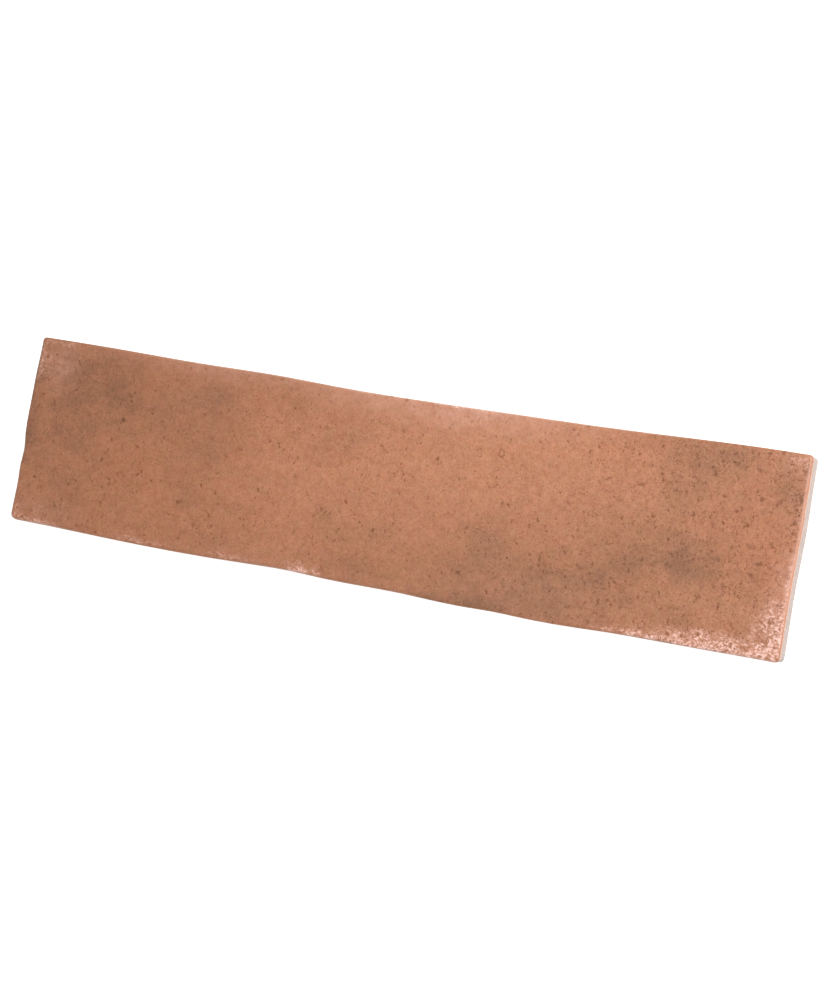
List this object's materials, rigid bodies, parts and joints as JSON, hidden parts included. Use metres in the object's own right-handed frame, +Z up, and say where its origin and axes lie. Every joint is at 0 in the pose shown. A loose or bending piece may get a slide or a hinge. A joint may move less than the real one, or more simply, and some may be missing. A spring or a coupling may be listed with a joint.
{
  "type": "terracotta tile",
  "caption": "Long, narrow wall tile with gently wavy edges and a satin terracotta-coloured glaze, stuck to a wall by its flat unglazed back.",
  "frame": {"origin": "middle of the flat back, which is the bottom of the tile as it lies", "axes": "+X along the length of the tile, +Y across its width, +Z up, out of the glazed face"},
  "size_m": [0.2505, 0.0607, 0.01],
  "materials": {
    "glazed_terracotta": "satin terracotta glaze over a pale fired body, which is bare on the edges and the back"
  },
  "bodies": {
    "root": {"tile": "glazed_terracotta"}
  },
  "joints": []
}
